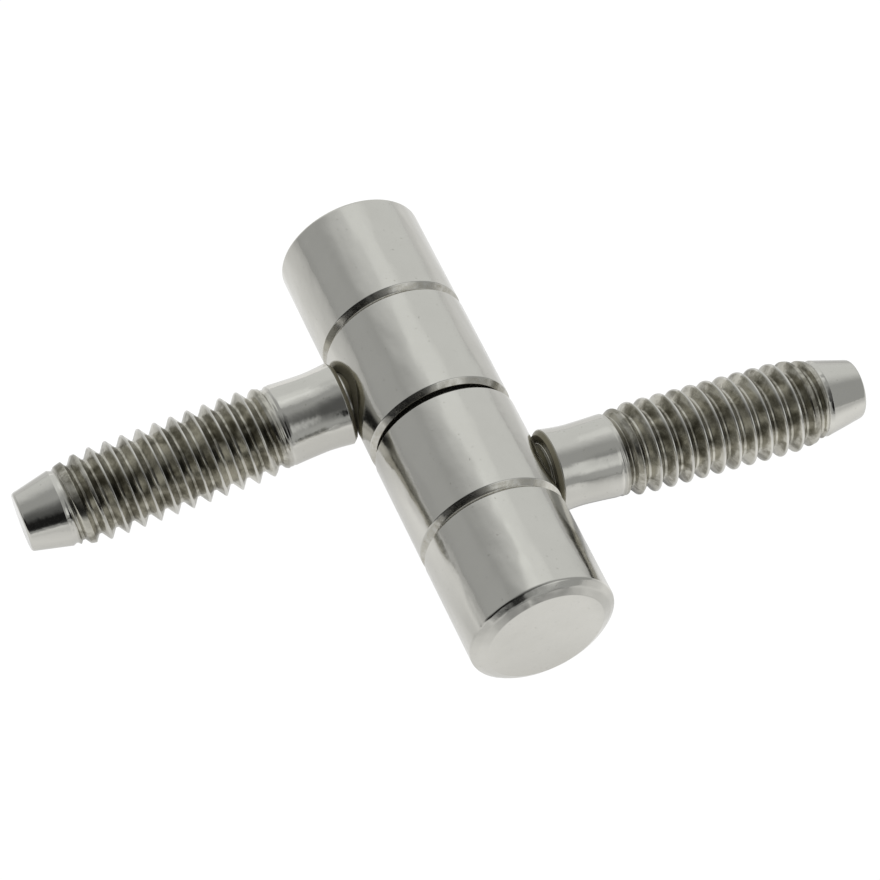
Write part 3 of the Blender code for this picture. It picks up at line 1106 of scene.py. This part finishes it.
def floor_material(stage):
    """Plain pale floor that glows as a light table does, less so in front."""
    material = bpy.data.materials.new("pale_floor")
    material.use_nodes = True
    tree = material.node_tree
    shader, output = tree.nodes["Principled BSDF"], tree.nodes["Material Output"]
    shader.location, output.location = (800, 0), (1300, 0)
    place = add_node(tree, "TexCoord", (-1500, 0)).outputs["Object"]
    parts = parts_of(tree, (-1300, 0), place)
    glow = glow_by_hinge(tree, parts["X"], parts["Y"])
    y = -800
    for added, *edges in FLOOR_PATCHES:
        fades = []
        for along_x, along_y, start, end in edges:
            along = share_along(tree, (-900, y), place, (along_x, along_y, 0.0))
            fades.append(ramp(tree, (-700, y), along, start, end))
            y -= 300
        patch = product(tree, (-450, y + 300), added, *fades)
        glow = math_node(tree, (300, y + 300), "ADD", glow, patch)
    for label, value in (
        ("Base Color", rgba(stage.floor)),
        ("Roughness", 0.9),
        ("Specular IOR Level", 0.0),
        ("Emission Color", (1.0, 1.0, 1.0, 1.0)),
        ("Emission Strength", math_node(tree, (600, 0), "MAXIMUM", glow, 0.0)),
    ):
        feed(tree, value, shader.inputs[label])
    white = add_node(tree, "Emission", (800, 200), {"Strength": stage.whiteness})
    seen = add_node(tree, "LightPath", (600, 500)).outputs["Is Camera Ray"]
    share = math_node(tree, (800, 400), "MULTIPLY", seen, stage.shadeless)
    feed(tree, mixed_shaders(tree, (1100, 100), share, shader, white), output.inputs["Surface"])
    return material


class HINGE_OT_stage(bpy.types.Operator):
    """Lay the floor and set the light and the camera"""

    bl_idname = "hinge.stage"
    bl_label = "Stage"

    def execute(self, context):
        stage = sizes("stage")
        deselect_all()
        bpy.ops.mesh.primitive_plane_add(size=stage.floor_size, location=(0.0, 0.0, 0.0))
        floor = bpy.context.object
        floor.name = "floor"
        floor.data.materials.append(floor_material(stage))

        studio_world(stage)
        bpy.ops.object.light_add(type="AREA", location=LAMP_PLACE)
        lamp = bpy.context.object
        lamp.name = "top_light"
        lamp.data.shape = "DISK"
        lamp.data.size = LAMP_WIDTH
        lamp.data.energy = LAMP_POWER
        lamp.rotation_euler = (-lamp.location).to_track_quat("-Z", "Y").to_euler()
        lamp.visible_glossy = False

        bpy.ops.object.camera_add()
        camera = bpy.context.object
        camera.name = "camera"
        right, ahead = Vector(CAMERA_RIGHT), Vector(CAMERA_AHEAD)
        matrix = Matrix((right, right.cross(ahead), -ahead)).transposed().to_4x4()
        matrix.translation = CAMERA_PLACE
        camera.matrix_world = matrix
        camera.data.sensor_width = 36.0         # millimetres, as the lens
        camera.data.lens = stage.lens
        camera.data.clip_start, camera.data.clip_end = 0.01, 20.0
        scene = context.scene
        scene.camera = camera
        scene.view_settings.view_transform = "Standard"
        scene.view_settings.look = "None"
        return {"FINISHED"}


# ---------------------------------------------------------------- panel and main

OPERATORS = (HINGE_OT_barrels, HINGE_OT_studs, HINGE_OT_pin, HINGE_OT_stage)
GROUPS = {
    "barrel": HINGE_PG_barrel,
    "stud": HINGE_PG_stud,
    "pin": HINGE_PG_pin,
    "finish": HINGE_PG_finish,
    "stage": HINGE_PG_stage,
}


class HINGE_PT_panel(bpy.types.Panel):
    """Sizes, colours and steps of the hinge"""

    bl_idname = "HINGE_PT_panel"
    bl_label = "Drill-in Hinge"
    bl_space_type = "VIEW_3D"
    bl_region_type = "UI"
    bl_category = "Hinge"

    def draw(self, context):
        for key in GROUPS:
            box = self.layout.box()
            box.label(text=key.capitalize())
            for name in GROUPS[key].__annotations__:
                box.prop(sizes(key), name)
        for operator in OPERATORS:
            self.layout.operator(operator.bl_idname)


def register():
    for group in GROUPS.values():
        bpy.utils.register_class(group)
    for key, group in GROUPS.items():
        setattr(bpy.types.Scene, "hinge_" + key, bpy.props.PointerProperty(type=group))
    for operator in OPERATORS:
        bpy.utils.register_class(operator)
    bpy.utils.register_class(HINGE_PT_panel)


def unregister():
    bpy.utils.unregister_class(HINGE_PT_panel)
    for operator in reversed(OPERATORS):
        bpy.utils.unregister_class(operator)
    for key, group in reversed(GROUPS.items()):
        delattr(bpy.types.Scene, "hinge_" + key)
        bpy.utils.unregister_class(group)


def main():
    register()
    bpy.ops.hinge.barrels()
    bpy.ops.hinge.studs()
    bpy.ops.hinge.pin()
    bpy.ops.hinge.stage()


if __name__ == "__main__":
    main()
